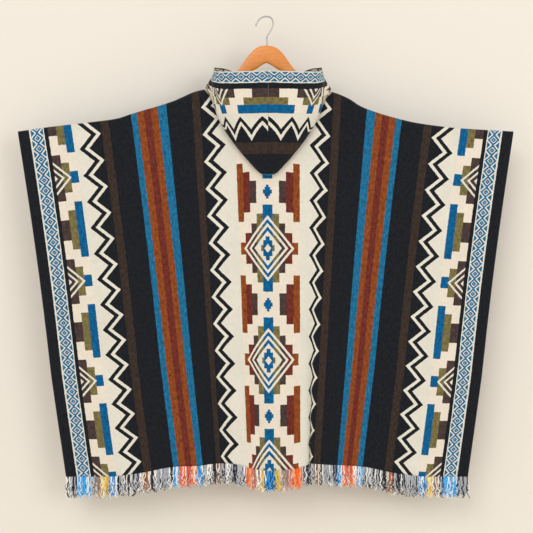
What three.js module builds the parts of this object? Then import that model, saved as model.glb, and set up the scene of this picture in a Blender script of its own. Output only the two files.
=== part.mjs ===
// Andean poncho with a hood, hanging on a wooden hanger.
//
// Millimetres, +Z up. The origin is the inside of the hook's bend, where a rail carries it.
// The garment's back faces -Y and its front faces +Y; +X is to the right seen from the back.
// The body is one length of cloth folded at the shoulders, open at both sides. It is modelled
// as two walls that meet at the shoulder fold. The hood is two halves joined at the centre back.
// Cloth positions are given as (across, down): millimetres of flat cloth measured from the
// centre line, and from the shoulder fold towards the hem.

import * as THREE from 'three';

// ---- cloth ----
const WALL = 2.4;              // thickness of the blanket cloth
const GAP = 0.3;               // clearance between pieces that are sewn together
const HALF_WIDTH = 596;        // cloth, centre line to side edge
const LENGTH = 889;            // cloth, shoulder fold to hem
const CENTRE_LEAN = 7;         // the centre line drifts this far to +X at the hem
const CENTRE_SAG = 0.022;      // the cloth gives a little under its own weight
const SIDE_SAG = 0.042;        // and a little more towards the side edges
const SIDE_DRAW = 5;           // the side edges are drawn in most at a third of the way down
const SIDE_DRAW_LENGTH = 620;
const FRINGE_LENGTH = 46;
const FRINGE_THICKNESS = 4;

// ---- neck and hood ----
const NECK_HALF = 154;         // half width of the neck opening along the shoulders
const BACK_NECK_DROP = 55;     // how far the back neckline dips below the shoulder line
const FRONT_NECK_DROP = 196;   // depth of the V at the front
const NECK_CENTRE = 4;         // the neck and the hood's seam sit a little to +X

// ---- hanger ----
const WOOD_THICKNESS = 10;
const WOOD_ROUND = 3;
const WIRE_DIAMETER = 3.5;
const BOARD_END = 212;         // half length of the board, before its rounded end

const COLOURS = {
  cloth: 0x1d2024,
  creamCloth: 0xe6dcc6,
  fringe: 0x8b8d92,
  wood: 0xe0954f,
  steel: 0x8d8a86,
};

// Height of the cloth along the shoulder fold, from the left side edge to the right one. Inside
// the neck opening it is only the line that the cloth hangs from.
const SHOULDER_LINE = [
  { across: -596, z: -275 },
  { across: -527, z: -265 },
  { across: -425, z: -253 },
  { across: -359, z: -244 },
  { across: -328, z: -234 },
  { across: -227, z: -203 },
  { across: -208, z: -195 },
  { across: -174, z: -180 },
  { across: -150, z: -174 },
  { across: 0, z: -151 },
  { across: 158, z: -180 },
  { across: 196, z: -195 },
  { across: 228, z: -215 },
  { across: 262, z: -228 },
  { across: 305, z: -241 },
  { across: 366, z: -255 },
  { across: 464, z: -267 },
  { across: 596, z: -275 },
];

// Height along the hem, by distance from the centre.
const HEM_LINE = [
  { across: 0, z: -1091 },
  { across: 60, z: -1085 },
  { across: 130, z: -1073 },
  { across: 230, z: -1076 },
  { across: 320, z: -1081 },
  { across: 410, z: -1096 },
  { across: 500, z: -1105 },
  { across: 596, z: -1106 },
];

// Cloth width that the soft folds swallow at the hem, by the stretch of cloth that they lie in.
const GATHERS = [
  { side: -1, from: 0, to: 110, swallow: 34 },
  { side: -1, from: 110, to: 300, swallow: 62 },
  { side: -1, from: 300, to: 596, swallow: 14 },
  { side: 1, from: 0, to: 95, swallow: 6 },
  { side: 1, from: 85, to: 170, swallow: 52 },
  { side: 1, from: 165, to: 320, swallow: 44 },
  { side: 1, from: 320, to: 596, swallow: 16 },
];

// Soft folds that run down to the hem: crest or hollow position, half width, height at the hem
// (positive stands out from the body), and how far down the cloth each one starts.
const BACK_FOLDS = [
  { across: -455, half: 120, height: 5, starts: 260 },
  { across: -268, half: 62, height: 10, starts: 180 },
  { across: -180, half: 52, height: -7, starts: 240 },
  { across: -96, half: 60, height: 7, starts: 200 },
  { across: 62, half: 62, height: 11, starts: 200 },
  { across: 128, half: 34, height: -10, starts: 300 },
  { across: 205, half: 66, height: 8, starts: 220 },
  { across: 320, half: 70, height: -4, starts: 300 },
  { across: 440, half: 110, height: 5, starts: 260 },
];
const FRONT_FOLDS = [
  { across: -420, half: 120, height: 6, starts: 240 },
  { across: -250, half: 80, height: -5, starts: 260 },
  { across: -120, half: 80, height: 8, starts: 260 },
  { across: 20, half: 80, height: -4, starts: 300 },
  { across: 150, half: 80, height: 8, starts: 240 },
  { across: 290, half: 80, height: -5, starts: 260 },
  { across: 430, half: 120, height: 6, starts: 240 },
];

// Hood half as stations, from the bottom of the V neck round the side to the centre back seam.
// x is measured from the hood's seam. seam: the edge sewn to the neckline, lifted above it by
// seamLift; fold: the lowest line of the hanging bag; rim: its open edge. bag is 1 where the
// cloth rolls over, falls, folds and rises again, and 0 where it stands up and narrows to the rim.
const HOOD_STATIONS = [
  { seamX: 1, seamY: 13, seamLift: 6, foldX: 1, foldZ: -338, rimX: 1, rimY: 13, rimZ: -322, bag: 0 },
  { seamX: 50, seamY: 13, seamLift: 5, foldX: 50, foldZ: -280, rimX: 30, rimY: 15, rimZ: -218, bag: 0 },
  { seamX: 100, seamY: 12, seamLift: 3, foldX: 100, foldZ: -220, rimX: 80, rimY: 17, rimZ: -131, bag: 0 },
  { seamX: 140, seamY: 11, seamLift: 4, foldX: 140, foldZ: -190, rimX: 113, rimY: 13, rimZ: -121, bag: 0 },
  { seamX: 150, seamY: 0, seamLift: 12, foldX: 150, foldZ: -176, rimX: 129, rimY: 0, rimZ: -121, bag: 0 },
  { seamX: 148, seamY: -9, seamLift: 9, foldX: 140, foldZ: -200, rimX: 129, rimY: -16, rimZ: -130, bag: 0.3 },
  { seamX: 134, seamY: -10, seamLift: 3, foldX: 117, foldZ: -248, rimX: 119, rimY: -32, rimZ: -136, bag: 1 },
  { seamX: 112, seamY: -10, seamLift: 3, foldX: 99, foldZ: -280, rimX: 97, rimY: -46, rimZ: -138, bag: 1 },
  { seamX: 84, seamY: -10, seamLift: 3, foldX: 74, foldZ: -315, rimX: 70, rimY: -56, rimZ: -139, bag: 1 },
  { seamX: 44, seamY: -10, seamLift: 3, foldX: 40, foldZ: -355, rimX: 36, rimY: -62, rimZ: -139, bag: 1 },
  { seamX: 16, seamY: -10, seamLift: 3, foldX: 15, foldZ: -379, rimX: 13, rimY: -64, rimZ: -138, bag: 1 },
  { seamX: 0, seamY: -10, seamLift: 3, foldX: 0, foldZ: -384, rimX: 0, rimY: -64, rimZ: -138, bag: 1 },
];
const BAG_FOLD_RADIUS = 6;     // roundness of the fold along the bottom of the bag
const BAG_STAND_OFF = 9;       // from the back panel to the bag's inner layer

// Hanger board: upper and lower edge, by distance from the centre.
const BOARD_EDGE = [
  { x: 0, top: -68.5, bottom: -110 },
  { x: 12, top: -69.5, bottom: -116 },
  { x: 24, top: -74, bottom: -124 },
  { x: 33, top: -81, bottom: -129 },
  { x: 42, top: -91, bottom: -134.5 },
  { x: 52, top: -105, bottom: -140 },
  { x: 62, top: -119, bottom: -146 },
  { x: 72, top: -130.5, bottom: -152.5 },
  { x: 90, top: -144, bottom: -163 },
  { x: 110, top: -159, bottom: -176 },
  { x: 150, top: -185, bottom: -204 },
  { x: 195, top: -205, bottom: -225 },
  { x: 214, top: -216, bottom: -232 },
];

// Wire hook, centre line from the tip over the bend and down to the board.
const HOOK_LINE = [
  { x: -25.4, z: -19.9 },
  { x: -22.6, z: -13.2 },
  { x: -18.6, z: -7 },
  { x: -11, z: -0.8 },
  { x: 0, z: 1.75 },
  { x: 9.4, z: -0.8 },
  { x: 14.8, z: -8 },
  { x: 15.8, z: -18 },
  { x: 12, z: -29 },
  { x: 6.8, z: -37.5 },
  { x: 2.6, z: -43.5 },
  { x: 1, z: -49 },
  { x: 1.2, z: -57 },
  { x: 1.2, z: -68 },
];

// ---- helpers ----

const clamp = (value, low, high) => Math.min(high, Math.max(low, value));

function ramp(value, start, end) {
  const t = clamp((value - start) / (end - start), 0, 1);
  return t * t * (3 - 2 * t);
}

// Smooth reading of one column of a table, with a monotone cubic between its rows.
function readTable(table, key, column, at) {
  const last = table.length - 1;
  if (at <= table[0][key]) return table[0][column];
  if (at >= table[last][key]) return table[last][column];
  const i = table.findIndex((row) => row[key] > at) - 1;
  const step = (k) => {
    const a = table[clamp(k, 0, last - 1)];
    const b = table[clamp(k, 0, last - 1) + 1];
    return (b[column] - a[column]) / (b[key] - a[key]);
  };
  const slope = (k) => {
    const before = step(k - 1);
    const after = step(k);
    return before * after <= 0 ? 0 : (2 * before * after) / (before + after);
  };
  const span = table[i + 1][key] - table[i][key];
  const t = (at - table[i][key]) / span;
  const h00 = (1 + 2 * t) * (1 - t) ** 2;
  const h10 = t * (1 - t) ** 2;
  const h01 = t * t * (3 - 2 * t);
  const h11 = t * t * (t - 1);
  return h00 * table[i][column] + h10 * span * slope(i)
    + h01 * table[i + 1][column] + h11 * span * slope(i + 1);
}

function foldHeight(folds, across, down) {
  let height = 0;
  for (const fold of folds) {
    const offset = Math.abs(across - fold.across) / fold.half;
    if (offset < 1) {
      const grown = ramp(down, fold.starts, LENGTH * 1.15);
      height += fold.height * grown * Math.cos((offset * Math.PI) / 2) ** 2;
    }
  }
  return height;
}

// The cloth is gathered evenly from the shoulders down.
function gatheredAcross(across, down) {
  const drawn = Math.sin(Math.PI * clamp(down / SIDE_DRAW_LENGTH, 0, 1));
  let distance = Math.abs(across) - SIDE_DRAW * drawn * ramp(Math.abs(across), 150, 450);
  const grown = clamp(down / LENGTH, 0, 1);
  for (const gather of GATHERS) {
    if (gather.side === Math.sign(across)) {
      distance -= gather.swallow * grown * ramp(Math.abs(across), gather.from, gather.to);
    }
  }
  return Math.sign(across) * distance;
}

// Middle surface of the body cloth. face is -1 for the back and 1 for the front.
function bodyPoint(face, folds, across, down) {
  const distance = Math.abs(across);
  const rollRadius = 8 - 3 * ramp(distance, 225, 300);
  const rollLength = (rollRadius * Math.PI) / 2;
  const shoulder = readTable(SHOULDER_LINE, 'across', 'z', across) - WALL / 2;
  const hem = readTable(HEM_LINE, 'across', 'z', distance);
  const angle = Math.min(down, rollLength) / rollRadius;
  const fullness = 8 * ramp(down, rollLength, 320) * (1 - 0.75 * ramp(distance, 420, HALF_WIDTH));
  const stand = rollRadius * Math.sin(angle) + fullness + foldHeight(folds, across, down);
  const part = Math.max(0, down - rollLength) / (LENGTH - rollLength);
  const sag = (CENTRE_SAG + SIDE_SAG * ramp(distance, 150, 420)) * part * (1 - part);
  const drop = rollRadius * (1 - Math.cos(angle)) + (shoulder - rollRadius - hem) * (part + sag);
  const centre = CENTRE_LEAN * (down / LENGTH) - 2 * ramp(distance, 200, HALF_WIDTH);
  return new THREE.Vector3(
    centre + gatheredAcross(across, down),
    face * (GAP / 2 + stand),
    shoulder - drop,
  );
}

const neckX = (across) => clamp(Math.abs(across - NECK_CENTRE) / NECK_HALF, 0, 1);
const backNeck = (across) => BACK_NECK_DROP * Math.sqrt(1 - neckX(across) ** 2);
const frontNeck = (across) => FRONT_NECK_DROP * (1 - neckX(across)) ** 0.9;

// A closed wall of cloth around a grid of middle-surface points, rows by columns. flatEdges
// names the edges whose end face stands square to an axis, where another piece lies beside it.
function clothWall(rows, thickness, flatEdges = {}) {
  const rowCount = rows.length;
  const columnCount = rows[0].length;
  const positions = [];
  const at = (r, c) => rows[clamp(r, 0, rowCount - 1)][clamp(c, 0, columnCount - 1)];
  const sides = [1, -1];
  for (const side of sides) {
    for (let r = 0; r < rowCount; r += 1) {
      for (let c = 0; c < columnCount; c += 1) {
        const along = at(r, c + 1).clone().sub(at(r, c - 1));
        const down = at(r + 1, c).clone().sub(at(r - 1, c));
        const normal = along.cross(down).normalize();
        if (r === 0 && flatEdges.top) normal[flatEdges.top] = 0;
        if (c === 0 && flatEdges.start) normal[flatEdges.start] = 0;
        if (c === columnCount - 1 && flatEdges.end) normal[flatEdges.end] = 0;
        normal.setLength((side * thickness) / 2);
        positions.push(...at(r, c).clone().add(normal).toArray());
      }
    }
  }
  const sheet = rowCount * columnCount;
  const index = (r, c, side) => side * sheet + r * columnCount + c;
  const faces = [];
  const quad = (a, b, c, d) => faces.push(a, b, c, a, c, d);
  for (let r = 0; r < rowCount - 1; r += 1) {
    for (let c = 0; c < columnCount - 1; c += 1) {
      quad(index(r, c, 0), index(r, c + 1, 0), index(r + 1, c + 1, 0), index(r + 1, c, 0));
      quad(index(r, c, 1), index(r + 1, c, 1), index(r + 1, c + 1, 1), index(r, c + 1, 1));
    }
  }
  const hem = rowCount - 1;
  const end = columnCount - 1;
  for (let c = 0; c < end; c += 1) {
    quad(index(0, c, 1), index(0, c + 1, 1), index(0, c + 1, 0), index(0, c, 0));
    quad(index(hem, c, 0), index(hem, c + 1, 0), index(hem, c + 1, 1), index(hem, c, 1));
  }
  for (let r = 0; r < hem; r += 1) {
    quad(index(r, 0, 0), index(r + 1, 0, 0), index(r + 1, 0, 1), index(r, 0, 1));
    quad(index(r, end, 1), index(r + 1, end, 1), index(r + 1, end, 0), index(r, end, 0));
  }
  return closedGeometry(positions, faces);
}

// Faces are turned round where a wall was listed inside out.
function closedGeometry(positions, faces) {
  const corner = (i) => new THREE.Vector3().fromArray(positions, 3 * i);
  let volume = 0;
  for (let i = 0; i < faces.length; i += 3) {
    volume += corner(faces[i]).dot(corner(faces[i + 1]).cross(corner(faces[i + 2])));
  }
  const outward = volume > 0 ? faces : faces.slice().reverse();
  const geometry = new THREE.BufferGeometry();
  geometry.setAttribute('position', new THREE.Float32BufferAttribute(positions, 3));
  geometry.setIndex(outward);
  geometry.computeVertexNormals();
  return geometry;
}

function makePiece(name, geometry, colour, roughness, metalness = 0) {
  const material = new THREE.MeshStandardMaterial({ color: colour, roughness, metalness });
  const mesh = new THREE.Mesh(geometry, material);
  mesh.name = name;
  return mesh;
}

// ---- body cloth ----

const DOWN_STEPS = [0, 4, 8.5, 12.6, 45, 120, 210, 310, 410, 510, 610, 700, 790, LENGTH];

// Columns stand close in the folded middle and wide apart in the flat sides.
function acrossSteps() {
  const steps = [];
  for (let across = 22; across < 340; across += 22) steps.push(across);
  steps.push(375, 415, 455, 500, 550, HALF_WIDTH);
  const mirrored = steps.flatMap((across) => [-across, across]);
  for (const side of [-1, 1]) {
    mirrored.push(NECK_CENTRE + side * NECK_HALF, NECK_CENTRE + side * (NECK_HALF - 4));
  }
  mirrored.push(NECK_CENTRE);
  return [...new Set(mirrored)].sort((a, b) => a - b);
}

function bodyPanel(face, folds, neck) {
  const rows = DOWN_STEPS.map((step) => acrossSteps().map((across) => {
    const start = neck(across);
    return bodyPoint(face, folds, across, start + (LENGTH - start) * (step / LENGTH));
  }));
  return clothWall(rows, WALL, { top: 'y' });
}

function fringeWall(face, folds) {
  const rows = [0, 0.5, 1].map((part) => acrossSteps().map((across) => {
    const hem = bodyPoint(face, folds, across, LENGTH);
    hem.z -= GAP + 0.4 + part * FRINGE_LENGTH;
    return hem;
  }));
  return clothWall(rows, FRINGE_THICKNESS);
}

// ---- hood ----

function hoodSection(side, position) {
  const value = (column) => {
    const keyed = HOOD_STATIONS.map((row, i) => ({ i, value: row[column] }));
    return readTable(keyed, 'i', 'value', position);
  };
  const seamX = value('seamX');
  const seamY = value('seamY');
  const behind = seamY <= 0;
  const across = NECK_CENTRE + side * seamX;
  const neckline = behind ? backNeck(across) : frontNeck(across);
  const folds = behind ? BACK_FOLDS : FRONT_FOLDS;
  const edge = bodyPoint(behind ? -1 : 1, folds, across, neckline);
  const seam = new THREE.Vector3(seamX, seamY, edge.z + value('seamLift'));
  const rim = new THREE.Vector3(value('rimX'), value('rimY'), value('rimZ'));
  const foldX = value('foldX');
  const foldZ = Math.min(value('foldZ'), seam.z - 1);
  const inner = seamY - BAG_STAND_OFF;
  const outer = inner - 2 * BAG_FOLD_RADIUS;
  const midZ = (foldZ + rim.z) / 2;
  const hanging = [
    seam,
    new THREE.Vector3(seamX, seamY - BAG_STAND_OFF / 2, seam.z + 6),
    new THREE.Vector3(seamX, inner, seam.z),
    new THREE.Vector3((seamX + foldX) / 2, inner, (seam.z + foldZ) / 2),
    new THREE.Vector3(foldX, inner - 0.5, foldZ + 1.6 * BAG_FOLD_RADIUS),
    new THREE.Vector3(foldX, (inner + outer) / 2, foldZ),
    new THREE.Vector3(foldX, outer - 1, foldZ + 1.6 * BAG_FOLD_RADIUS),
    new THREE.Vector3((foldX + rim.x) / 2, (outer + rim.y) / 2 - 7, midZ),
    rim,
  ];
  const bag = ramp(value('bag'), 0, 1);
  const points = hanging.map((point, i) => {
    const up = i / (hanging.length - 1);
    const standing = seam.clone().lerp(rim, up);
    standing.x = rim.x + (seam.x - rim.x) * (1 - up) ** 2;
    return standing.lerp(point, bag);
  });
  return new THREE.CatmullRomCurve3(points, false, 'centripetal');
}

function hoodHalf(side) {
  const stationCount = 18;
  const sectionCount = 19;
  const rows = [];
  for (let i = 0; i <= stationCount; i += 1) {
    const position = (i / stationCount) * (HOOD_STATIONS.length - 1);
    const section = hoodSection(side, position);
    const row = [];
    for (let j = 0; j <= sectionCount; j += 1) {
      const point = section.getPoint(j / sectionCount);
      row.push(new THREE.Vector3(
        NECK_CENTRE + side * (point.x + GAP / 2),
        point.y,
        point.z,
      ));
    }
    rows.push(row);
  }
  return clothWall(rows.reverse(), WALL, { top: 'x' });
}

// ---- hanger ----

function hangerBoard() {
  const columns = [];
  for (let x = 0; x < BOARD_END; x += 9) columns.push(x);
  columns.push(BOARD_END);
  const edge = (column, x) => readTable(BOARD_EDGE, 'x', column, Math.abs(x));
  const outline = [];
  const mirrored = [...columns.slice(1).reverse().map((x) => -x), ...columns];
  for (const x of mirrored) outline.push(new THREE.Vector2(x, edge('top', x) - WOOD_ROUND));
  const endTop = edge('top', BOARD_END);
  const endBottom = edge('bottom', BOARD_END);
  const endMiddle = (endTop + endBottom) / 2;
  outline.push(new THREE.Vector2(BOARD_END + 4, endMiddle));
  for (const x of mirrored.slice().reverse()) {
    outline.push(new THREE.Vector2(x, edge('bottom', x) + WOOD_ROUND));
  }
  outline.push(new THREE.Vector2(-BOARD_END - 4, endMiddle));
  const geometry = new THREE.ExtrudeGeometry(new THREE.Shape(outline), {
    depth: WOOD_THICKNESS - 2 * WOOD_ROUND,
    bevelEnabled: true,
    bevelThickness: WOOD_ROUND,
    bevelSize: WOOD_ROUND,
    bevelSegments: 2,
    steps: 1,
  });
  geometry.translate(0, 0, -(WOOD_THICKNESS / 2 - WOOD_ROUND));
  geometry.rotateX(Math.PI / 2);
  return geometry;
}

function hangerHook() {
  const path = new THREE.CatmullRomCurve3(
    HOOK_LINE.map((point) => new THREE.Vector3(point.x, 0, point.z)),
    false,
    'centripetal',
  );
  const section = new THREE.Shape();
  section.absarc(0, 0, WIRE_DIAMETER / 2, 0, 2 * Math.PI, false);
  return new THREE.ExtrudeGeometry(section, {
    steps: 44,
    curveSegments: 5,
    extrudePath: path,
    bevelEnabled: false,
  });
}

// ---- assembly ----

const poncho = new THREE.Group();
poncho.name = 'poncho_on_hanger';
poncho.add(
  makePiece('hanger_hook', hangerHook(), COLOURS.steel, 0.35, 0.9),
  makePiece('hanger_wood', hangerBoard(), COLOURS.wood, 0.5),
  makePiece('back_panel', bodyPanel(-1, BACK_FOLDS, backNeck), COLOURS.cloth, 0.95),
  makePiece('front_panel', bodyPanel(1, FRONT_FOLDS, frontNeck), COLOURS.cloth, 0.95),
  makePiece('hood_left', hoodHalf(-1), COLOURS.creamCloth, 0.95),
  makePiece('hood_right', hoodHalf(1), COLOURS.creamCloth, 0.95),
  makePiece('fringe_back', fringeWall(-1, BACK_FOLDS), COLOURS.fringe, 1),
  makePiece('fringe_front', fringeWall(1, FRONT_FOLDS), COLOURS.fringe, 1),
);

export default poncho;
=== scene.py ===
import math

import bmesh
import bpy
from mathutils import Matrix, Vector


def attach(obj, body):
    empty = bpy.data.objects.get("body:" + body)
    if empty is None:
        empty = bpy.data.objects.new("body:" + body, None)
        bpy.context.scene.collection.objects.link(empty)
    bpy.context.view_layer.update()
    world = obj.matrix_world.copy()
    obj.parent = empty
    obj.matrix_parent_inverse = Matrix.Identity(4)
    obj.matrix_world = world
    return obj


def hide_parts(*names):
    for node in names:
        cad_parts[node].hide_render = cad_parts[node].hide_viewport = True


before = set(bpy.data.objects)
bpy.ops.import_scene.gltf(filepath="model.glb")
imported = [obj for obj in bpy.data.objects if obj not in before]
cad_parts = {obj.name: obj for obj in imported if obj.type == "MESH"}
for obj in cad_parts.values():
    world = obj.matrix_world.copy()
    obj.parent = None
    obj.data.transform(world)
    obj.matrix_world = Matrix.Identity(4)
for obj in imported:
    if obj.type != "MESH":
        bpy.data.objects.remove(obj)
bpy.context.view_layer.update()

mm = 0.001

cameraSettings = {
    "lens": 85.0,
    "sensor": 36.0,
    "frameWidth": 1.2792,          # metres across the picture at the cloth
    "clothPlane": -0.008,          # where the back of the garment hangs
    "aim": (0.0, -0.600),          # x and z at the middle of the picture
}


def makeCamera(s):
    data = bpy.data.cameras.new("backViewCamera")
    data.lens = s["lens"]
    data.sensor_width = s["sensor"]
    camera = bpy.data.objects.new("backViewCamera", data)
    distance = s["frameWidth"] * s["lens"] / s["sensor"]
    camera.location = (s["aim"][0], s["clothPlane"] - distance, s["aim"][1])
    camera.rotation_euler = (math.pi / 2, 0.0, 0.0)
    bpy.context.scene.collection.objects.link(camera)
    bpy.context.scene.camera = camera


makeCamera(cameraSettings)
print("camera placed")


def clamp(value, low, high):
    return min(high, max(low, value))


def ramp(value, start, end):
    t = clamp((value - start) / (end - start), 0.0, 1.0)
    return t * t * (3 - 2 * t)


def readTable(rows, at, column=1):
    # monotone cubic through (key, value, ...) rows
    last = len(rows) - 1
    if at <= rows[0][0]:
        return rows[0][column]
    if at >= rows[last][0]:
        return rows[last][column]
    i = next(k for k in range(last) if rows[k + 1][0] > at)

    def step(k):
        k = int(clamp(k, 0, last - 1))
        return (rows[k + 1][column] - rows[k][column]) / (rows[k + 1][0] - rows[k][0])

    def slope(k):
        before, after = step(k - 1), step(k)
        return 0.0 if before * after <= 0 else 2 * before * after / (before + after)

    span = rows[i + 1][0] - rows[i][0]
    t = (at - rows[i][0]) / span
    value = (1 + 2 * t) * (1 - t) ** 2 * rows[i][column] + t * (1 - t) ** 2 * span * slope(i)
    return value + t * t * (3 - 2 * t) * rows[i + 1][column] + t * t * (t - 1) * span * slope(i + 1)


# Cloth positions are (across, down): mm of flat cloth from the centre line, and from the
# shoulder fold to the hem. face is -1 on the back and 1 on the front.
clothSettings = {
    "wall": 2.4,
    "halfWidth": 596.0,
    "length": 889.0,
    "centreLean": 7.0,
    "centreSag": 0.022,            # the cloth gives a little under its own weight
    "sideSag": 0.042,              # and a little more towards the side edges
    "sideDraw": (5.0, 620.0),      # the side edges are drawn in most at a third of the way down
    "neckCentre": 4.0,
    "neckHalf": 154.0,
    "backNeckDrop": 55.0,
    "frontNeckDrop": 196.0,
    # height along the shoulder fold by place across, and along the hem by distance from the centre
    "shoulderLine": [(-596, -275), (-527, -265), (-425, -253), (-359, -244), (-328, -234), (-227, -203),
                     (-208, -195), (-174, -180), (-150, -174), (0, -151), (158, -180), (196, -195),
                     (228, -215), (262, -228), (305, -241), (366, -255), (464, -267), (596, -275)],
    "hemLine": [(0, -1091), (60, -1085), (130, -1073), (230, -1076), (320, -1081), (410, -1096),
                (500, -1105), (596, -1106)],
    # side, from, to, width swallowed at the hem
    "gathers": [(-1, 0, 110, 34), (-1, 110, 300, 62), (-1, 300, 596, 14), (1, 0, 95, 6),
                (1, 85, 170, 52), (1, 165, 320, 44), (1, 320, 596, 16)],
    # across, half width, height, where it starts
    "backFolds": [(-455, 120, 5, 260), (-268, 62, 10, 180), (-180, 52, -7, 240), (-96, 60, 7, 200),
                  (62, 62, 11, 200), (128, 34, -10, 300), (205, 66, 8, 220), (320, 70, -4, 300),
                  (440, 110, 5, 260)],
    "frontFolds": [(-420, 120, 6, 240), (-250, 80, -5, 260), (-120, 80, 8, 260), (20, 80, -4, 300),
                   (150, 80, 8, 240), (290, 80, -5, 260), (430, 120, 6, 240)],
    # soft handling creases: across, down, half across, half down, lean, height
    "creases": [(-300, 140, 26, 150, 0.5, 1.0), (-226, 60, 16, 110, 0.9, 1.1), (236, 62, 16, 110, -0.9, 1.1),
                (330, 170, 30, 160, -0.5, 0.9), (-480, 330, 30, 190, -0.1, 0.8),
                (500, 420, 34, 210, 0.1, 0.8), (-380, 620, 30, 220, 0.05, 1.0),
                (395, 560, 26, 240, -0.06, 0.9), (-30, 420, 24, 170, 0.05, 0.7),
                (-205, 500, 22, 230, 0.12, 0.9), (262, 640, 24, 200, -0.1, 0.8),
                (-540, 700, 24, 160, 0.05, 0.8), (545, 720, 22, 150, -0.05, 0.8),
                (20, 700, 26, 150, 0.03, 0.8)],
    "shoulderRoll": (8, 5),        # radius over the hanger, and past its ends
    "rollEnds": (225, 300),
    "fullness": 8,                 # how far the hanging panels stand apart
    "rollSteps": [0.0, 2.1, 4.2, 6.3, 8.4, 10.5, 12.6],
    "columns": 200,
    "backRows": 120,
    "frontRows": 76,
}


def foldHeight(s, folds, across, down):
    height = 0.0
    for centre, half, rise, starts in folds:
        offset = abs(across - centre) / half
        if offset < 1:
            height += rise * ramp(down, starts, s["length"] * 1.15) * math.cos(offset * math.pi / 2) ** 2
    return height


def creaseHeight(s, across, down):
    height = 0.0
    for centreAcross, centreDown, halfAcross, halfDown, lean, rise in s["creases"]:
        y = (down - centreDown) / halfDown
        x = (across - centreAcross - lean * (down - centreDown) * 0.3) / halfAcross
        if abs(x) < 2.6 and abs(y) < 1:
            height += rise * math.exp(-x * x) * math.cos(y * math.pi / 2) ** 2
    return height


def gatheredAcross(s, across, down):
    side = -1 if across < 0 else 1
    draw, reach = s["sideDraw"]
    drawn = draw * math.sin(math.pi * clamp(down / reach, 0, 1))
    distance = abs(across) - drawn * ramp(abs(across), 150, 450)
    for gatherSide, start, end, swallow in s["gathers"]:
        if gatherSide == side:
            distance -= swallow * clamp(down / s["length"], 0, 1) * ramp(abs(across), start, end)
    return side * distance


def bodyPoint(s, face, folds, across, down, creases=True):
    distance = abs(across)
    inner, outer = s["shoulderRoll"]
    roll = inner - (inner - outer) * ramp(distance, *s["rollEnds"])
    rollLength = roll * math.pi / 2
    shoulder = readTable(s["shoulderLine"], across) - s["wall"] / 2
    fall = shoulder - roll - readTable(s["hemLine"], distance)
    angle = min(down, rollLength) / roll
    fullness = s["fullness"] * ramp(down, rollLength, 320) * (1 - 0.75 * ramp(distance, 420, s["halfWidth"]))
    stand = roll * math.sin(angle) + fullness + foldHeight(s, folds, across, down)
    if creases:
        stand += creaseHeight(s, across * -face, down) * ramp(down, 10, 60)
    part = max(0.0, down - rollLength) / (s["length"] - rollLength)
    sag = (s["centreSag"] + s["sideSag"] * ramp(distance, 150, 420)) * part * (1 - part)
    drop = roll * (1 - math.cos(angle)) + fall * (part + sag)
    centre = s["centreLean"] * down / s["length"] - 2 * ramp(distance, 200, s["halfWidth"])
    return Vector((centre + gatheredAcross(s, across, down), face * stand, shoulder - drop))


def neckDrop(s, face, across):
    part = clamp(abs(across - s["neckCentre"]) / s["neckHalf"], 0, 1)
    if face < 0:
        return s["backNeckDrop"] * math.sqrt(1 - part * part)
    return s["frontNeckDrop"] * (1 - part) ** 0.9


def gridNormals(rows, square):
    # square is the axis that the normals of the first row have no part of, so that a joined edge
    # stays true
    normals = []
    lastRow, lastColumn = len(rows) - 1, len(rows[0]) - 1
    for r, row in enumerate(rows):
        line = []
        for c in range(len(row)):
            along = rows[r][min(c + 1, lastColumn)] - rows[r][max(c - 1, 0)]
            down = rows[min(r + 1, lastRow)][c] - rows[max(r - 1, 0)][c]
            normal = along.cross(down)
            if normal.length < 1e-12:
                normal = Vector((0, -1, 0))
            if r == 0:
                normal[square] = 0.0
            line.append(normal.normalized())
        normals.append(line)
    return normals


def clothShell(name, sheets, wall):
    # a sheet is rows of points in mm, rows of (across, down) in mm, the square axis of its first
    # row, which way is outward, and where that row joins the other sheet
    mesh = bmesh.new()
    uvLayer = mesh.loops.layers.uv.new("clothPlace")
    insideLayer = mesh.verts.layers.float.new("innerFace")
    for rows, places, square, sign, joined in sheets:
        normals = gridNormals(rows, square)
        layers = []
        for side in (1, -1):
            layer = []
            for r, row in enumerate(rows):
                line = []
                for c, point in enumerate(row):
                    vertex = mesh.verts.new((point + normals[r][c] * (side * sign * wall / 2)) * mm)
                    vertex[insideLayer] = 0.0 if side > 0 else 1.0
                    line.append(vertex)
                layer.append(line)
            layers.append(layer)
        outer, inner = layers
        lastRow, lastColumn = len(rows) - 1, len(rows[0]) - 1

        def quad(corners):
            face = mesh.faces.new([vertex for vertex, _ in corners])
            face.smooth = True
            for loop, (_, place) in zip(face.loops, corners):
                loop[uvLayer].uv = (place[0] * mm, place[1] * mm)

        def at(layer, r, c):
            return layer[r][c], places[r][c]

        for r in range(lastRow):
            for c in range(lastColumn):
                quad([at(outer, r, c), at(outer, r, c + 1), at(outer, r + 1, c + 1), at(outer, r + 1, c)])
                quad([at(inner, r, c), at(inner, r + 1, c), at(inner, r + 1, c + 1), at(inner, r, c + 1)])
        for c in range(lastColumn):
            if not (joined and joined(c) and joined(c + 1)):
                quad([at(inner, 0, c), at(inner, 0, c + 1), at(outer, 0, c + 1), at(outer, 0, c)])
            quad([at(outer, lastRow, c), at(outer, lastRow, c + 1), at(inner, lastRow, c + 1),
                  at(inner, lastRow, c)])
        for r in range(lastRow):
            quad([at(outer, r, 0), at(outer, r + 1, 0), at(inner, r + 1, 0), at(inner, r, 0)])
            quad([at(inner, r, lastColumn), at(inner, r + 1, lastColumn), at(outer, r + 1, lastColumn),
                  at(outer, r, lastColumn)])
    bmesh.ops.remove_doubles(mesh, verts=mesh.verts, dist=2e-6)
    bmesh.ops.recalc_face_normals(mesh, faces=mesh.faces)
    return meshPiece(name, mesh)


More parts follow.
